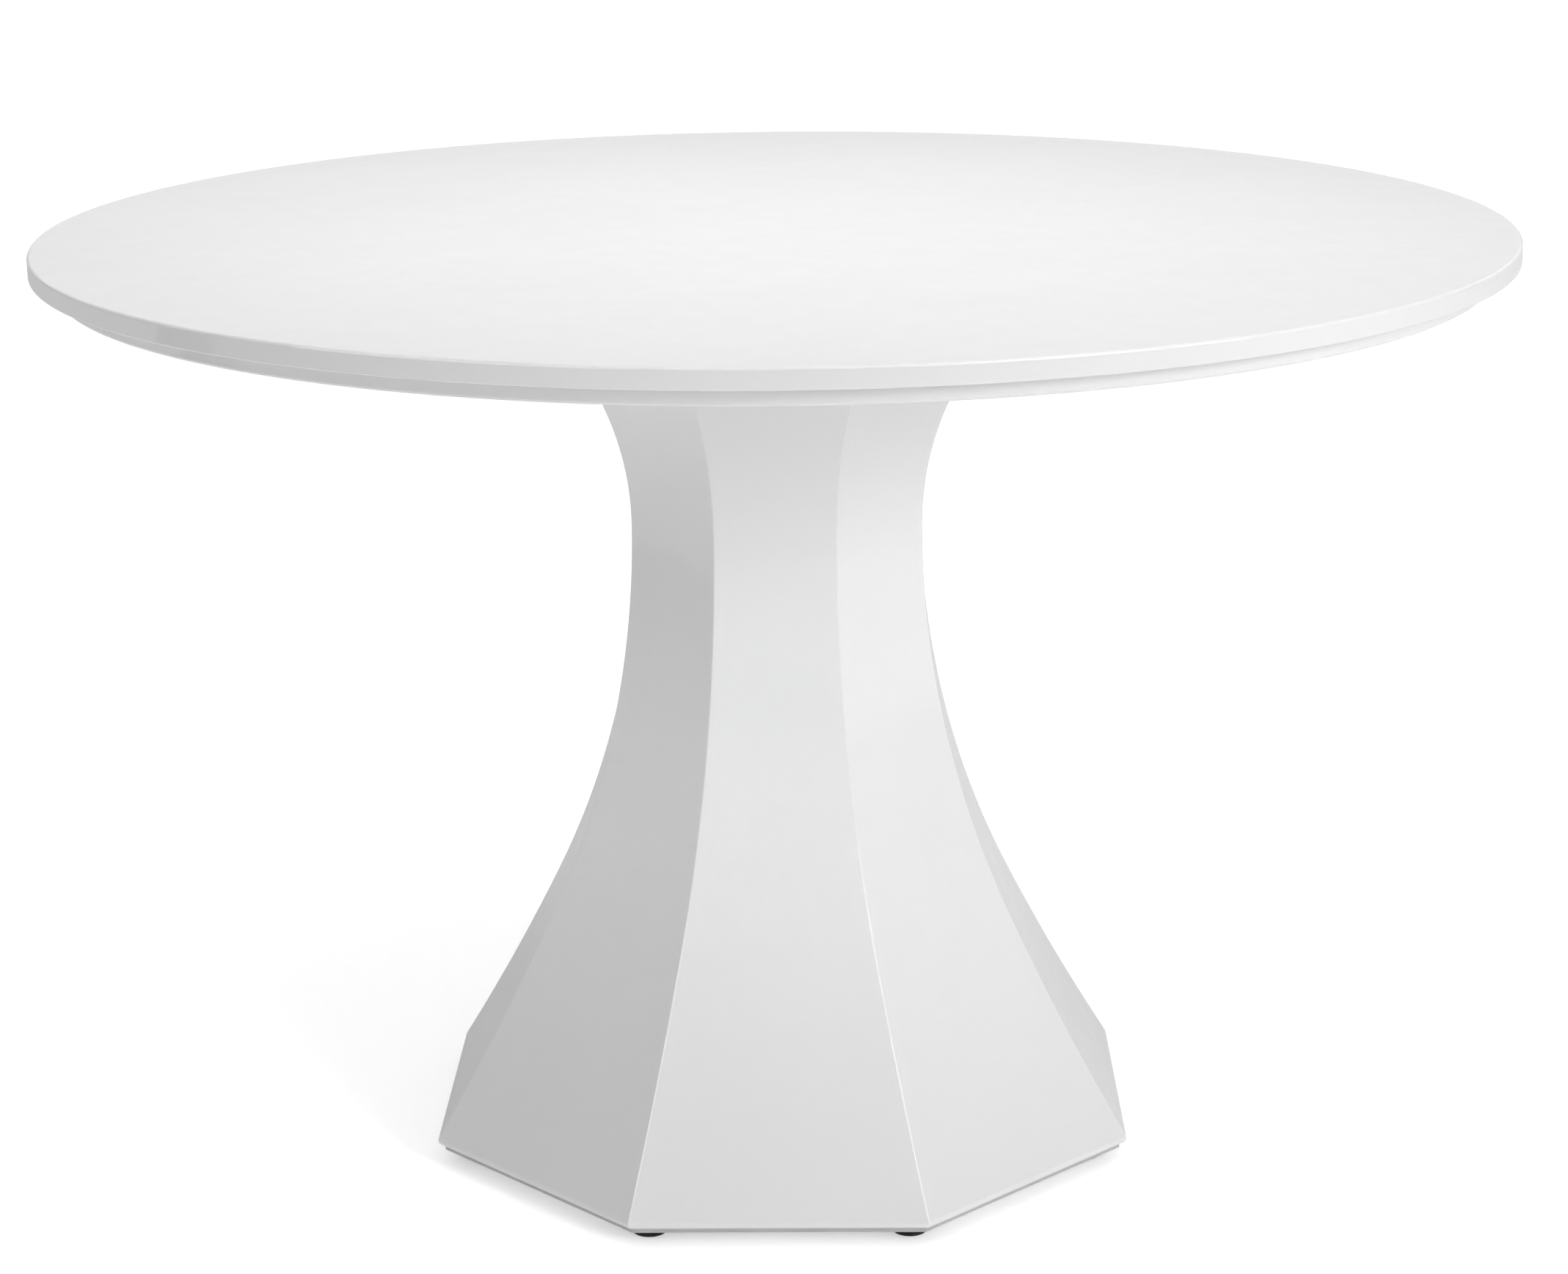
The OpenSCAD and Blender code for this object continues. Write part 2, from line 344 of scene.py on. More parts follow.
def noise(nodes, links, vector, scale, detail=2.0, roughness=0.5, distortion=0.0):
    texture = nodes.new("ShaderNodeTexNoise")
    texture.inputs["Scale"].default_value = scale
    texture.inputs["Detail"].default_value = detail
    texture.inputs["Roughness"].default_value = roughness
    texture.inputs["Distortion"].default_value = distortion
    links.new(vector, texture.inputs["Vector"])
    return texture.outputs["Fac"]


def remap(nodes, links, value, low, high, from_low=0.0, from_high=1.0):
    """value moved from one range to another, clamped."""
    mapped = nodes.new("ShaderNodeMapRange")
    mapped.inputs["From Min"].default_value = from_low
    mapped.inputs["From Max"].default_value = from_high
    mapped.inputs["To Min"].default_value = low
    mapped.inputs["To Max"].default_value = high
    links.new(value, mapped.inputs["Value"])
    return mapped.outputs["Result"]


def ramp(nodes, links, value, stops):
    """Colour from (position, colour) stops."""
    colours = nodes.new("ShaderNodeValToRGB")
    elements = colours.color_ramp.elements
    while len(elements) < len(stops):
        elements.new(0.5)
    for element, (position, colour) in zip(elements, stops):
        element.position = position
        element.color = (*colour, 1.0)
    links.new(value, colours.inputs["Fac"])
    return colours.outputs["Color"]


def feed(links, socket, source):
    """Gives a socket its value: a number, or the output to link to it."""
    if isinstance(source, float):
        socket.default_value = source
    else:
        links.new(source, socket)


def combine(nodes, links, operation, first, second=0.0):
    """Result of a maths operation on an output and either a number or another output."""
    joined = nodes.new("ShaderNodeMath")
    joined.operation = operation
    feed(links, joined.inputs[0], first)
    feed(links, joined.inputs[1], second)
    return joined.outputs["Value"]


def choose(nodes, links, when, otherwise, value):
    """value where when is 1, and otherwise elsewhere: each a number or an output."""
    picked = nodes.new("ShaderNodeMix")
    feed(links, picked.inputs["Factor"], when)
    feed(links, picked.inputs["A"], otherwise)
    feed(links, picked.inputs["B"], value)
    return picked.outputs["Result"]


def blend(nodes, links, mode, first, second, factor):
    """Colour first with colour second laid over it in a blend mode, by a factor: a number or an output."""
    mixed = nodes.new("ShaderNodeMix")
    mixed.data_type = "RGBA"
    mixed.blend_type = mode
    feed(links, mixed.inputs["Factor"], factor)
    feed(links, mixed.inputs["A"], first)
    feed(links, mixed.inputs["B"], second)
    return mixed.outputs["Result"]


def axis_part(nodes, links, vector, axis):
    """One part, "X", "Y" or "Z", of a vector output."""
    split = nodes.new("ShaderNodeSeparateXYZ")
    links.new(vector, split.inputs["Vector"])
    return split.outputs[axis]


def bump(nodes, links, height, distance, normal=None):
    """Surface normal with relief: height is 0 to 1 and distance is in metres."""
    relief = nodes.new("ShaderNodeBump")
    relief.inputs["Distance"].default_value = distance
    links.new(height, relief.inputs["Height"])
    if normal is not None:
        links.new(normal, relief.inputs["Normal"])
    return relief.outputs["Normal"]


def white_lacquer():
    """White paint under a polished coat: faint orange peel, a slow ripple, an uneven white and gloss."""
    material, nodes, links = new_material("white_lacquer")
    shader = nodes["Principled BSDF"]
    space = object_space(nodes, links)
    cloud = noise(nodes, links, space, 5.0, detail=3.0)
    tint = ramp(nodes, links, cloud, [(0.3, (0.723, 0.723, 0.723)), (0.7, (0.738, 0.738, 0.738))])
    links.new(tint, shader.inputs["Base Color"])
    haze = noise(nodes, links, space, 38.0, detail=4.0, roughness=0.6)
    links.new(remap(nodes, links, haze, 0.3, 0.4, 0.35, 0.65), shader.inputs["Roughness"])
    facing = nodes.new("ShaderNodeLayerWeight").outputs["Facing"]
    turned_away = remap(nodes, links, facing, 1.0, 0.2, 0.5, 1.0)
    uneven = remap(nodes, links, haze, 1.0, 0.9, 0.35, 0.65)
    links.new(combine(nodes, links, "MULTIPLY", turned_away, uneven), shader.inputs["Coat Weight"])
    ripple = noise(nodes, links, space, 22.0, detail=1.0)
    peel = noise(nodes, links, space, 210.0, detail=2.0)
    surface = bump(nodes, links, ripple, 0.00015)
    surface = bump(nodes, links, peel, 0.000008, normal=surface)
    links.new(surface, shader.inputs["Normal"])
    links.new(surface, shader.inputs["Coat Normal"])
    shader.inputs["Specular IOR Level"].default_value = 0.0
    shader.inputs["Coat Roughness"].default_value = 0.05
    shader.inputs["Coat IOR"].default_value = 1.5
    return material


def grey_primer():
    """Grey primer, flat, streaked along the floor, with a few pale scuffs. Its grey is made darker than the
    panels' white so that it also paints in the shade of the recess under them.
    """
    material, nodes, links = new_material("grey_primer")
    shader = nodes["Principled BSDF"]
    streaked = object_space(nodes, links, scale=(1.0, 1.0, 9.0))
    streaks = noise(nodes, links, streaked, 45.0, detail=4.0, roughness=0.6)
    # Painted shade: these greys are the primer's and also stand in for the shade of the recess under the
    # panels.
    tone = ramp(nodes, links, streaks, [
        (0.30, (0.40, 0.40, 0.40)), (0.65, (0.45, 0.45, 0.448)), (0.90, (0.52, 0.52, 0.52)),
    ])
    links.new(tone, shader.inputs["Base Color"])
    links.new(remap(nodes, links, streaks, 0.42, 0.6), shader.inputs["Roughness"])
    links.new(bump(nodes, links, streaks, 0.00008), shader.inputs["Normal"])
    return material


# Thickness of one veneer.
VENEER = 0.0014


def plywood():
    """Birch plywood: veneers that show as stripes on the edges, and a flat grain on the faces."""
    material, nodes, links = new_material("plywood")
    shader = nodes["Principled BSDF"]
    space = object_space(nodes, links, scale=(1.0, 9.0, 1.0))
    grain = noise(nodes, links, space, 22.0, detail=6.0, roughness=0.65, distortion=0.6)
    face = ramp(nodes, links, grain, [
        (0.25, (0.50, 0.34, 0.19)), (0.55, (0.64, 0.47, 0.29)), (0.80, (0.72, 0.56, 0.37)),
    ])
    height = axis_part(nodes, links, object_space(nodes, links), "Z")
    veneers = combine(nodes, links, "PINGPONG", height, VENEER)
    stripes = remap(nodes, links, veneers, 0.45, 1.0, 0.0, VENEER)
    edge = blend(nodes, links, "MULTIPLY", face, stripes, 1.0)
    tilt = axis_part(nodes, links, nodes.new("ShaderNodeNewGeometry").outputs["Normal"], "Z")
    level = remap(nodes, links, combine(nodes, links, "ABSOLUTE", tilt), 0.0, 1.0, 0.9, 0.95)
    links.new(blend(nodes, links, "MIX", edge, face, level), shader.inputs["Base Color"])
    links.new(remap(nodes, links, grain, 0.5, 0.72), shader.inputs["Roughness"])
    links.new(bump(nodes, links, grain, 0.0002), shader.inputs["Normal"])
    return material


def beech():
    """Planed beech: pinkish brown with fine rays along the grain."""
    material, nodes, links = new_material("beech")
    shader = nodes["Principled BSDF"]
    long_grain = object_space(nodes, links, scale=(1.0, 1.0, 0.12))
    grain = noise(nodes, links, long_grain, 90.0, detail=5.0, roughness=0.6, distortion=0.8)
    rays = noise(nodes, links, long_grain, 900.0, detail=1.0)
    tone = ramp(nodes, links, grain, [
        (0.30, (0.42, 0.23, 0.12)), (0.60, (0.56, 0.34, 0.19)), (0.85, (0.64, 0.42, 0.26)),
    ])
    flecks = ramp(nodes, links, rays, [(0.60, (1.0, 1.0, 1.0)), (0.72, (0.62, 0.55, 0.50))])
    links.new(blend(nodes, links, "MULTIPLY", tone, flecks, 0.8), shader.inputs["Base Color"])
    links.new(remap(nodes, links, grain, 0.45, 0.65), shader.inputs["Roughness"])
    links.new(bump(nodes, links, rays, 0.0001), shader.inputs["Normal"])
    return material


def zinc_steel():
    """Zinc-plated steel: bright, with a faint iridescent mottle and drawn scratches."""
    material, nodes, links = new_material("zinc_steel")
    shader = nodes["Principled BSDF"]
    space = object_space(nodes, links)
    mottle = noise(nodes, links, space, 260.0, detail=3.0, distortion=0.5)
    tone = ramp(nodes, links, mottle, [
        (0.30, (0.50, 0.52, 0.56)), (0.50, (0.62, 0.63, 0.64)), (0.72, (0.66, 0.63, 0.55)),
    ])
    links.new(tone, shader.inputs["Base Color"])
    scratches = noise(nodes, links, object_space(nodes, links, scale=(1.0, 1.0, 14.0)), 700.0, detail=2.0)
    links.new(remap(nodes, links, scratches, 0.24, 0.42), shader.inputs["Roughness"])
    links.new(bump(nodes, links, scratches, 0.00002), shader.inputs["Normal"])
    shader.inputs["Metallic"].default_value = 1.0
    return material


def black_nylon():
    """Moulded black nylon: a fine satin texture with slightly uneven gloss."""
    material, nodes, links = new_material("black_nylon")
    shader = nodes["Principled BSDF"]
    space = object_space(nodes, links)
    flow = noise(nodes, links, space, 60.0, detail=3.0)
    tone = ramp(nodes, links, flow, [(0.3, (0.009, 0.009, 0.010)), (0.7, (0.017, 0.017, 0.018))])
    links.new(tone, shader.inputs["Base Color"])
    texture = noise(nodes, links, space, 2600.0, detail=2.0)
    links.new(remap(nodes, links, texture, 0.38, 0.58), shader.inputs["Roughness"])
    links.new(bump(nodes, links, texture, 0.00003), shader.inputs["Normal"])
    return material


MATERIALS = {
    "white_lacquer": white_lacquer(),
    # grey_primer: a primer grey that also paints in the shade of the recess under the panels.
    "grey_primer": grey_primer(),
    "plywood": plywood(),
    "beech": beech(),
    "zinc_steel": zinc_steel(),
    "black_nylon": black_nylon(),
}

for part in frame["record"]["subparts"]:
    cad_mesh = frame["nodes"][part["node"]].data
    cad_mesh.materials.clear()
    cad_mesh.materials.append(MATERIALS[part["material_slot"]])


# ---------------------------------------------------------------- the top

TOP_SCREW_PLACES = [
    flat(polar(radius, (k + 0.5) * 2 * math.pi / count))
    for radius, count in TOP_SCREW_RINGS
    for k in range(count)
]
BOLT_PLACES = [flat(polar(BOLT_CIRCLE, side_angle(k))) for k in range(SIDES)]


def make_top():
    """Upper disc: the screws through the lower one end inside it."""
    blind = blind_hole(SCREW_RADIUS, TOP_LOW.z, UNDER_LOW.z + TOP_SCREW_LENGTH)
    holes = [(blind, place) for place in TOP_SCREW_PLACES]
    round_board("tabletop_panel", TOP_LOW, TOP_HIGH, LOWER_ROUND, EDGE_ROUND, holes, DISC_SEGMENTS)


def make_underlayer():
    """Lower disc: countersunk holes for the screws, and pockets for the bolts' inserts."""
    through = screw_hole(UNDER_LOW.z, UNDER_HIGH.z)
    pocket = blind_hole(INSERT_RADIUS, UNDER_LOW.z, UNDER_LOW.z + INSERT_LENGTH + SEAT_GAP)
    holes = [(through, place) for place in TOP_SCREW_PLACES] + [(pocket, place) for place in BOLT_PLACES]
    round_board("tabletop_underlayer", UNDER_LOW, UNDER_HIGH, EDGE_ROUND, EDGE_ROUND, holes, DISC_SEGMENTS)


def make_mounting_board():
    """Mounting board: clearance holes for the bolts, and its own screws' holes, countersunk from above."""
    clear = [(BOLT_HOLE_RADIUS, MOUNT_LOW.z), (BOLT_HOLE_RADIUS, MOUNT_HIGH.z)]
    sunk = screw_hole(MOUNT_LOW.z, MOUNT_HIGH.z, head_low=False)
    holes = [(clear, place) for place in BOLT_PLACES]
    holes += [(sunk, flat(polar(MOUNTING_SCREW_CIRCLE, corner_angle(k)))) for k in range(SIDES)]
    round_board("mounting_board", MOUNT_LOW, MOUNT_HIGH, BOARD_ROUND, BOARD_ROUND, holes, BOARD_SEGMENTS)


# ---------------------------------------------------------------- the pedestal

# The shank's slope where the skirt takes over, and the centres of the three arcs, each (distance, z).
LEAN = math.asin((WAIST_HEIGHT - SKIRT_HEIGHT) / SHANK_RADIUS)
HEAD_CENTRE = (WAIST_APOTHEM + HEAD_RADIUS, WAIST_HEIGHT)
SHANK_CENTRE = (WAIST_APOTHEM + SHANK_RADIUS, WAIST_HEIGHT)
SKIRT_CENTRE = (
    SHANK_CENTRE[0] + (SKIRT_RADIUS - SHANK_RADIUS) * math.cos(LEAN),
    SHANK_CENTRE[1] + (SKIRT_RADIUS - SHANK_RADIUS) * math.sin(LEAN),
)


def arc_distance(centre, radius, z):
    """Distance from the axis to an arc at height z."""
    return centre[0] - math.sqrt(radius ** 2 - (centre[1] - z) ** 2)


def back_distance(z):
    """Distance from the axis to the panels' backs, less the glue line, in the skirt."""
    return arc_distance(SKIRT_CENTRE, SKIRT_RADIUS + PANEL_THICKNESS, z) - GLUE_LINE


def face_section(depth, low_end):
    """Points of the panel's curve, depth inside its face, from the top down to height low_end."""
    points = []
    pieces = [
        (HEAD_CENTRE, HEAD_RADIUS, WAIST_HEIGHT, PANEL_HIGH.z, HEAD_STEPS),
        (SHANK_CENTRE, SHANK_RADIUS, None, WAIST_HEIGHT, SHANK_STEPS),
        (SKIRT_CENTRE, SKIRT_RADIUS, low_end, None, SKIRT_STEPS),
    ]
    for centre, radius, low, high, count in pieces:
        reach = radius + depth
        first = LEAN if high is None else math.asin((centre[1] - high) / reach)
        last = LEAN if low is None else math.asin((centre[1] - low) / reach)
        for point in arc(centre, -reach, first, last, count):
            if not points or points[-1][:2] != point[:2]:
                points.append(point)
    return points


def panel_frame(k):
    """Outward and sideways unit vectors of side k."""
    return polar(1.0, side_angle(k)), polar(1.0, side_angle(k) + math.pi / 2)


def placed(k, x, y, z):
    """Vector that goes x outwards, y along side k and z up."""
    outward, sideways = panel_frame(k)
    return outward * x + sideways * y + Vector((0, 0, z))


def rounded_row(k, point):
    """Corners across side k at one point of its section, rounded towards both neighbours."""
    x, z, normal_x, normal_z = point
    middle = x - ARRIS_ROUND
    row = []
    for sign in (-1, 1):
        half = []
        for i in range(CORNER_STEPS + 1):
            swing = HALF_CORNER * i / CORNER_STEPS
            place = placed(
                k,
                middle + ARRIS_ROUND * math.cos(swing),
                sign * (middle * MITRE + ARRIS_ROUND * math.sin(swing)),
                z,
            )
            normal = placed(
                k,
                math.cos(swing) * normal_x,
                sign * math.sin(swing) * normal_x,
                normal_z * (math.cos(swing) + MITRE * math.sin(swing)),
            )
            half.append((place, normal))
        row += reversed(half) if sign < 0 else half
    return row


def make_panel(k):
    """One curved, mitred panel: face with rounded arrises and bottom edge, back, top, bottom and mitres."""
    skin = Skin()
    low = PANEL_LOW.z
    round_z = low + BOTTOM_ROUND
    round_x = arc_distance(SKIRT_CENTRE, SKIRT_RADIUS + BOTTOM_ROUND, round_z)
    tangent = math.atan2(SKIRT_CENTRE[1] - round_z, SKIRT_CENTRE[0] - round_x)
    face = face_section(0.0, round_z + BOTTOM_ROUND * math.sin(tangent))
    back = face_section(PANEL_THICKNESS, low)
    nose = arc((round_x, round_z), BOTTOM_ROUND, tangent, -math.pi / 2, NOSE_STEPS)

    face_rows = [rounded_row(k, p) for p in face]
    nose_rows = [rounded_row(k, p) for p in nose]
    skin.grid(face_rows)
    skin.grid(nose_rows)
    back_rows = []
    for x, z, normal_x, normal_z in back:
        normal = placed(k, -normal_x, 0, -normal_z)
        back_rows.append([(placed(k, x, side * x * MITRE, z), normal) for side in (-1, 1)])
    skin.grid(back_rows)

    skin.face([(p, UP) for p, _ in face_rows[0] + back_rows[0][::-1]])
    skin.face([(p, DOWN) for p, _ in nose_rows[-1] + back_rows[-1][::-1]])
    for end, sign in ((0, -1), (-1, 1)):
        normal = placed(k, -math.sin(HALF_CORNER), sign * math.cos(HALF_CORNER), 0)
        outer = [(row[end][0], normal) for row in face_rows]
        inner = [(row[end][0], normal) for row in back_rows]
        skin.grid([outer, inner])
        skin.face([outer[-1], *[(row[end][0], normal) for row in nose_rows[1:]], inner[-1]])
    skin.make(f"pedestal_panel_{k + 1}", "frame", "white_lacquer")


def make_base_board():
    """Octagonal board under the panels, with a rounded lower edge, a shoulder and a bevelled rebate."""
    skin = Skin()
    low, shoulder, high = BASE_LOW.z, PANEL_LOW.z, BASE_HIGH.z
    apothem = BASE_HIGH.x
    edge = arc((apothem - BOARD_ROUND, low + BOARD_ROUND), BOARD_ROUND, -math.pi / 2, 0, BASE_EDGE_STEPS)
    edge.append((apothem, shoulder, 1.0, 0.0))
    bevel_low, bevel_high = back_distance(low), back_distance(high)
    rebate_low = bevel_low + (bevel_high - bevel_low) * (shoulder - low) / (high - low)
    rebate = steps([(apothem, shoulder), (rebate_low, shoulder), (bevel_high, high)])
    walls = [octagon_rows(stroke) for stroke in (edge, *rebate)]
    for rows in walls:
        skin.grid(rows, closed=True)

    flange, barrel = FLANGE_RADIUS + SEAT_GAP, INSERT_RADIUS + SEAT_GAP
    foot_hole = [
        (flange, low),
        (flange, low + FLANGE_THICKNESS),
        (barrel, low + FLANGE_THICKNESS),
        (barrel, low + FOOT_INSERT_LENGTH),
        (FOOT_BORE_RADIUS, low + FOOT_INSERT_LENGTH),
        (FOOT_BORE_RADIUS, high),
    ]
    holes = []
    for k in range(SIDES):
        holes.append((foot_hole, flat(polar(FOOT_CIRCLE, corner_angle(k)))))
        middle = polar(BASE_SCREW_CIRCLE, corner_angle(k))
        for side in (-1, 1):
            sideways = polar(side * BASE_SCREW_SPREAD, corner_angle(k) + math.pi / 2)
            holes.append((screw_hole(low, high), flat(middle + sideways)))
    for z, row, normal in ((low, walls[0][0], DOWN), (high, walls[-1][-1], UP)):
        skin.sheet([p for p, _ in row], hole_rings(holes, z), normal)
    for section, centre in holes:
        drill(skin, section, centre)
    # Its grey_primer finish is painted shade: a primer grey darkened to stand in for the shade of the
    # recess under the panels.
    skin.make("base_board", "frame", "grey_primer")


# ---------------------------------------------------------------- the feet

def make_pad(k):
    """Moulded pad: a softened sole, a shallow groove round the wall, and a socket for the stud's ball."""
    name = f"foot_pad_{k + 1}"
    skin = Skin()
    wall, groove = PAD_RADIUS, PAD_RADIUS - GROOVE_DEPTH
    mouth, socket = NECK_RADIUS + MOUTH_GAP, BALL_RADIUS + SEAT_GAP
    rim = math.acos(mouth / socket)
    shoulder = arc(
        (wall - PAD_SHOULDER_ROUND, PAD_SHOULDER), PAD_SHOULDER_ROUND, 0, math.pi / 4, SHOULDER_STEPS
    )
    ball = arc((0.0, BALL_HEIGHT), socket, rim, -math.pi / 2, BALL_STEPS)
    outline = [
        arc((wall - SOLE_ROUND, SOLE_ROUND), SOLE_ROUND, -math.pi / 2, 0, SOLE_STEPS),
        *steps([
            (wall, SOLE_ROUND),
            (wall, GROOVE_LOW),
            (groove, GROOVE_LOW + GROOVE_BEVEL),
            (groove, GROOVE_HIGH - GROOVE_BEVEL),
            (wall, GROOVE_HIGH),
            (wall, PAD_SHOULDER),
        ]),
        shoulder,
        *steps([
            shoulder[-1][:2],
            (PAD_CROWN_RADIUS, PAD_HEIGHT),
            (mouth, PAD_HEIGHT),
            (mouth, BALL_HEIGHT + socket * math.sin(rim)),
        ]),
        [(r, z, -normal_r, -normal_z) for r, z, normal_r, normal_z in ball],
        *steps([(0.0, 0.0), (wall - SOLE_ROUND, 0.0)]),
    ]
    turn(skin, outline, PAD_SEGMENTS, flat(polar(FOOT_CIRCLE, corner_angle(k))))
    skin.make(name, name, "black_nylon")


def thread_row(z, start, centre):
    """Corners round the thread at height z. It begins at height start, and deepens over its run-out."""
    depth = THREAD_DEPTH * min(1.0, (z - start) / THREAD_RUNOUT)
    row = []
    for i in range(STUD_SEGMENTS):
        angle = 2 * math.pi * i / STUD_SEGMENTS
        phase = 2 * math.pi * (z - start) / THREAD_PITCH - angle
        radius = THREAD_RADIUS - depth * (1 - math.cos(phase)) / 2
        slope = -depth * math.pi / THREAD_PITCH * math.sin(phase)
        row.append((polar(radius, angle, z) + centre, polar(1.0, angle, -slope)))
    return row


def make_stud(k):
    """Levelling screw: ball, neck, hexagonal collar and a rolled thread with a chamfered end."""
    name = f"foot_stud_{k + 1}"
    skin = Skin()
    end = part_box(name)[1].z
    collar_top = BASE_LOW.z - COLLAR_GAP
    thread_top = end - THREAD_CHAMFER
    centre = polar(FOOT_CIRCLE, corner_angle(k))

    neck_angle = math.acos(NECK_RADIUS / BALL_RADIUS)
    neck_z = BALL_HEIGHT + BALL_RADIUS * math.sin(neck_angle)
    ball = arc((0.0, BALL_HEIGHT), BALL_RADIUS, -math.pi / 2, neck_angle, BALL_STEPS)
    neck = steps([(NECK_RADIUS, neck_z), (NECK_RADIUS, COLLAR_BOTTOM)])
    turn(skin, [ball, *neck], STUD_SEGMENTS, flat(centre))

    reach = COLLAR_FLATS / 2 / math.cos(math.pi / COLLAR_SIDES)
    angles = [corner_angle(k) + 2 * math.pi * i / COLLAR_SIDES for i in range(COLLAR_SIDES)]
    bottom = [polar(reach, angle, COLLAR_BOTTOM) + centre for angle in angles]
    top = [polar(reach, angle, collar_top) + centre for angle in angles]
    for i in range(COLLAR_SIDES):
        j = (i + 1) % COLLAR_SIDES
        normal = polar(1.0, angles[i] + math.pi / COLLAR_SIDES)
        skin.face([(p, normal) for p in (bottom[i], bottom[j], top[j], top[i])])
    skin.sheet(bottom, [ring_points(NECK_RADIUS, COLLAR_BOTTOM, STUD_SEGMENTS, flat(centre))], DOWN)

    count = round((thread_top - collar_top) / THREAD_PITCH * STEPS_PER_PITCH)
    heights = [collar_top + (thread_top - collar_top) * i / count for i in range(count + 1)]
    rows = [thread_row(z, collar_top, centre) for z in heights]
    skin.grid(rows, closed=True)
    skin.sheet(top, [[p for p, _ in rows[0]]], UP)

    tip = ring_points(THREAD_RADIUS - THREAD_DEPTH - THREAD_CHAMFER / 2, end, STUD_SEGMENTS, flat(centre))
    normals = [polar(1.0, 2 * math.pi * i / STUD_SEGMENTS, 1.0) for i in range(STUD_SEGMENTS)]
    bevel = [list(zip(ring, normals)) for ring in ([p for p, _ in rows[-1]], tip)]
    skin.grid(bevel, closed=True)
    skin.face([(p, UP) for p in tip])
    skin.make(name, name, "zinc_steel")


make_top()
make_underlayer()
make_mounting_board()
make_base_board()
for side in range(SIDES):
    make_panel(side)
    make_pad(side)
    make_stud(side)


# ---------------------------------------------------------------- floor, light and camera

CAMERA_PLACE = (0.0525, -2.900, 1.2249)
CAMERA_PITCH = math.radians(15.394)
CAMERA_YAW = math.radians(-0.955)
CAMERA_ROLL = math.radians(-0.591)
CAMERA_LENS = 81.85
CAMERA_SENSOR = 36.0

# Half the floor's width, and its own glow: as it lights the paint, as the camera sees it and in the gloss.
FLOOR_HALF = 30.0
FLOOR_GLOW = 0.300
FLOOR_SEEN_GLOW = 0.420
FLOOR_MIRRORED_GLOW = 0.0
# The dark strip in the mirrored floor: the x at which it starts, and half its width.
DARK_STRIP_START = -2.45
DARK_STRIP_HALF = 0.5

# The surround as the camera sees it, and as all else does: the direction and strength of each glow.
BACKDROP_GLOW = 1.0
SKY_GLOWS = [
    ((0, 0, 1), 0.970),
    ((0, -1, 0), 0.125),
]

# Name, location, target, size, spread in degrees, power and the finish that the lamp lights.
SOFTBOXES = [
    ("key", (2.5, -2.5, 1.6), (0.0, 0.0, 0.4), (1.2, 1.2), 40, 4.0, "paint"),
    ("middle", (-0.8, -3.45, 1.3), (0.0, 0.0, 0.28), (1.0, 0.15), 8, 0.1, "paint"),
    ("overhead", (0.0, 0.0, 3.6), (0.0, 0.0, 0.77), (1.0, 1.0), 50, 3.4, "paint"),
    ("back_wall", (0.0, 10.0, 3.6), (0.0, 0.0, 0.77), (16.0, 6.0), 180, 240, "gloss"),
    ("front_awning", (1.0, -2.6, 3.8), (0.2, 0.0, 0.77), (5.0, 1.6), 180, 100, "gloss"),
    ("left_panel", (-2.4, -2.4, 2.0), (0.0, 0.0, 0.3), (3.2, 1.1), 180, 60, "gloss"),
    ("right_panel", (2.4, -2.4, 2.0), (0.0, 0.0, 0.3), (3.2, 1.1), 180, 60, "gloss"),
]


def make_floor():
    """Plain pale floor, clear from below. In the gloss, a dark strip of it runs off to the table's left."""
    mesh = bpy.data.meshes.new("floor")
    corners = [(x * FLOOR_HALF, y * FLOOR_HALF, 0.0) for x, y in ((-1, -1), (1, -1), (1, 1), (-1, 1))]
    mesh.from_pydata(corners, [], [(0, 1, 2, 3)])
    floor = bpy.data.objects.new("floor", mesh)
    bpy.context.scene.collection.objects.link(floor)
    material, nodes, links = new_material("floor_paint")
    shader = nodes["Principled BSDF"]
    cloud = noise(nodes, links, object_space(nodes, links), 0.6, detail=2.0)
    tone = ramp(nodes, links, cloud, [(0.3, (0.90, 0.90, 0.90)), (0.7, (0.92, 0.92, 0.92))])
    links.new(tone, shader.inputs["Base Color"])
    shader.inputs["Roughness"].default_value = 0.9
    shader.inputs["Specular IOR Level"].default_value = 0.1
    shader.inputs["Emission Color"].default_value = (1.0, 1.0, 1.0, 1.0)
    path = nodes.new("ShaderNodeLightPath")
    lit = choose(nodes, links, path.outputs["Is Glossy Ray"], FLOOR_GLOW, FLOOR_MIRRORED_GLOW)
    glow = choose(nodes, links, path.outputs["Is Camera Ray"], lit, FLOOR_SEEN_GLOW)
    links.new(glow, shader.inputs["Emission Strength"])
    clear = nodes.new("ShaderNodeBsdfTransparent")
    place = nodes.new("ShaderNodeNewGeometry")
    position = place.outputs["Position"]
    beyond = combine(nodes, links, "LESS_THAN", axis_part(nodes, links, position, "X"), DARK_STRIP_START)
    aside = combine(nodes, links, "ABSOLUTE", axis_part(nodes, links, position, "Y"))
    within = combine(nodes, links, "LESS_THAN", aside, DARK_STRIP_HALF)
    strip = combine(nodes, links, "MULTIPLY", beyond, within)
    dark = combine(nodes, links, "MULTIPLY", path.outputs["Is Glossy Ray"], strip)
    sheet = nodes.new("ShaderNodeMixShader")
    links.new(combine(nodes, links, "MAXIMUM", place.outputs["Backfacing"], dark), sheet.inputs["Fac"])
    links.new(shader.outputs["BSDF"], sheet.inputs[1])
    links.new(clear.outputs["BSDF"], sheet.inputs[2])
    links.new(sheet.outputs["Shader"], nodes["Material Output"].inputs["Surface"])
    mesh.materials.append(material)


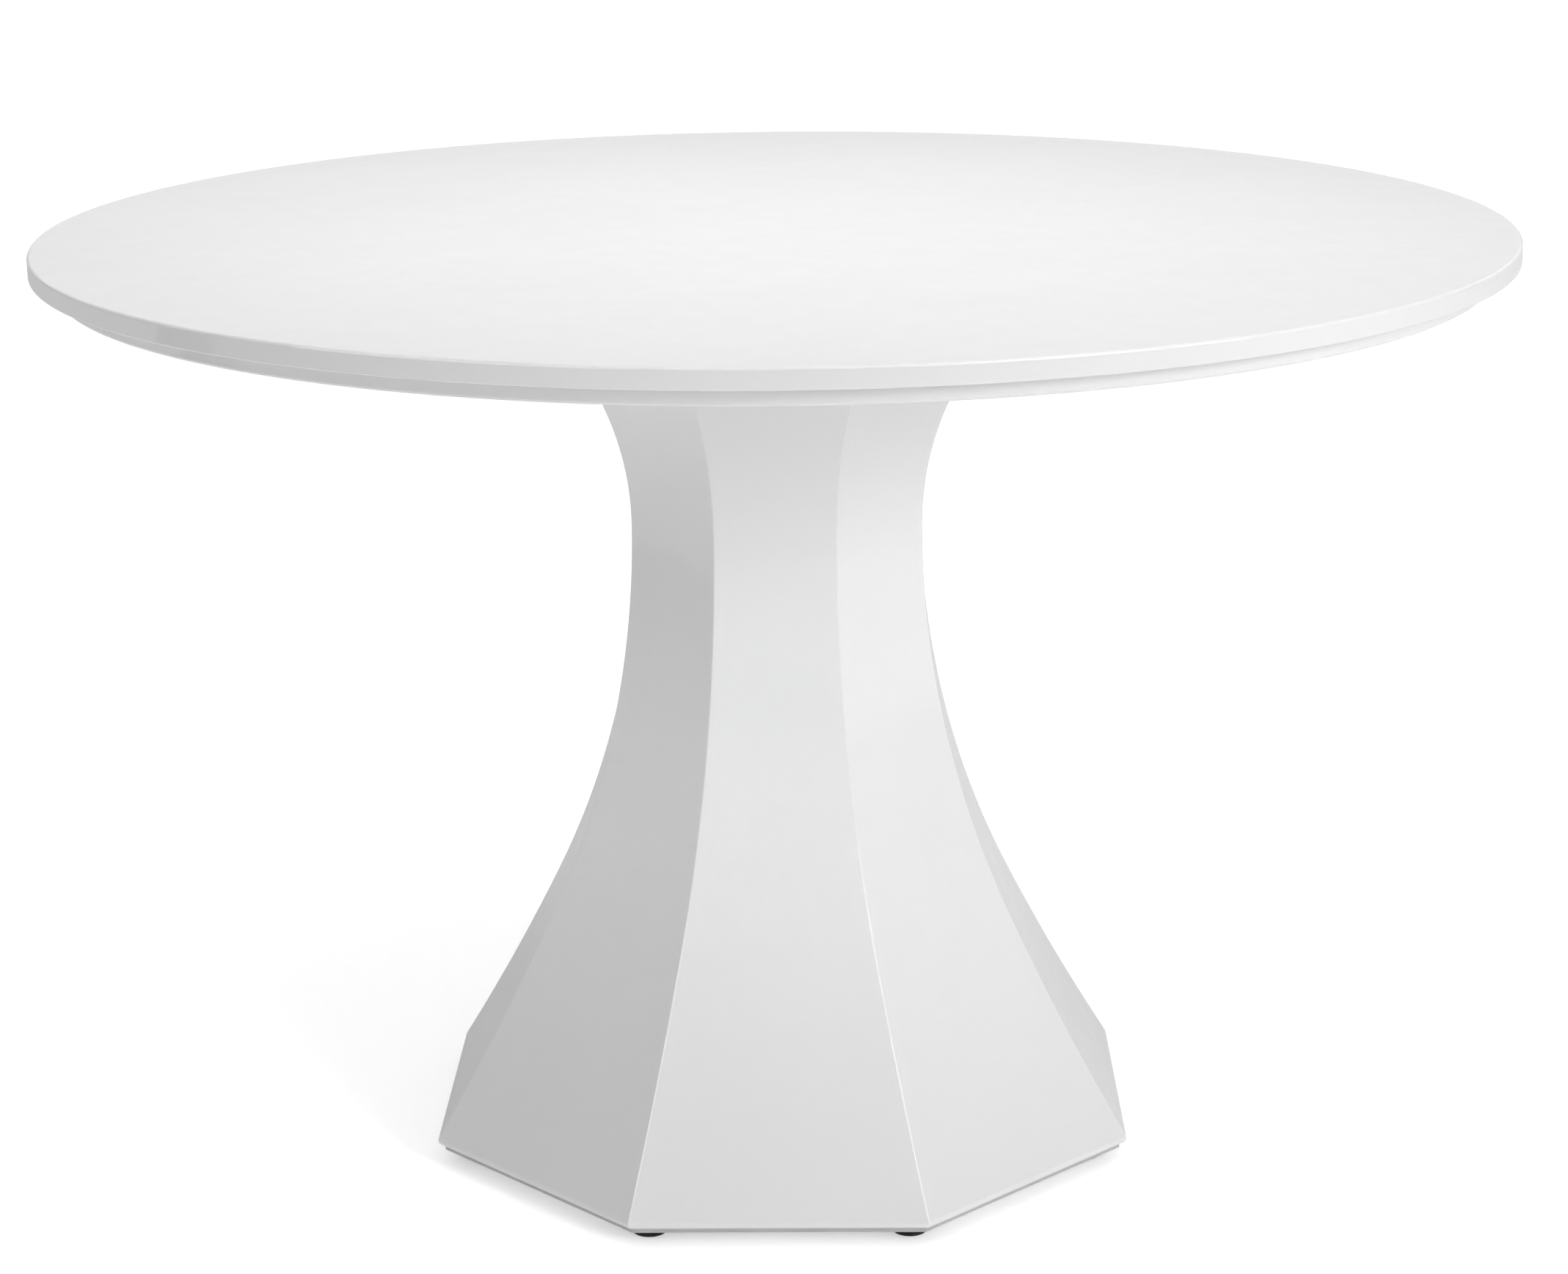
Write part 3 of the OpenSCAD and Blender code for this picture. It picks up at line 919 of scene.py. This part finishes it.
def make_sky():
    """Soft surround: a broad glow from each direction in SKY_GLOWS, seen by the camera as one pale tone."""
    world = bpy.data.worlds.new("studio")
    bpy.context.scene.world = world
    world.use_nodes = True
    nodes, links = world.node_tree.nodes, world.node_tree.links
    place = nodes.new("ShaderNodeTexCoord")
    total = None
    for direction, strength in SKY_GLOWS:
        facing = nodes.new("ShaderNodeVectorMath")
        facing.operation = "DOT_PRODUCT"
        links.new(place.outputs["Generated"], facing.inputs[0])
        facing.inputs[1].default_value = direction
        glow = remap(nodes, links, facing.outputs["Value"], 0.0, strength)
        total = glow if total is None else combine(nodes, links, "ADD", total, glow)
    path = nodes.new("ShaderNodeLightPath")
    seen = choose(nodes, links, path.outputs["Is Camera Ray"], total, BACKDROP_GLOW)
    links.new(seen, nodes["Background"].inputs["Strength"])
    nodes["Background"].inputs["Color"].default_value = (1.0, 1.0, 1.0, 1.0)


def softbox(name, location, target, size, spread, power, finish):
    """Studio lamp that lights one finish: the paint, with no outline of the lamp in it, or the gloss."""
    light = bpy.data.lights.new(name, "AREA")
    light.shape = "RECTANGLE"
    light.size, light.size_y = size
    light.spread = math.radians(spread)
    light.energy = power
    lamp = bpy.data.objects.new(name, light)
    lamp.location = location
    lamp.rotation_euler = (Vector(target) - Vector(location)).to_track_quat("-Z", "Y").to_euler()
    lamp.visible_diffuse = finish == "paint"
    lamp.visible_glossy = finish == "gloss"
    bpy.context.scene.collection.objects.link(lamp)


def make_camera():
    """The camera, placed by its position, pitch, yaw and roll."""
    camera = bpy.data.cameras.new("camera")
    camera.sensor_width = CAMERA_SENSOR
    camera.lens = CAMERA_LENS
    holder = bpy.data.objects.new("camera", camera)
    bpy.context.scene.collection.objects.link(holder)
    turned = (
        Matrix.Rotation(-CAMERA_YAW, 4, "Z")
        @ Matrix.Rotation(math.pi / 2 - CAMERA_PITCH, 4, "X")
        @ Matrix.Rotation(CAMERA_ROLL, 4, "Z")
    )
    holder.matrix_world = Matrix.Translation(CAMERA_PLACE) @ turned
    bpy.context.scene.camera = holder


make_camera()
make_floor()
make_sky()
for box in SOFTBOXES:
    softbox(*box)
bpy.context.scene.view_settings.view_transform = "Standard"
bpy.context.scene.view_settings.look = "None"
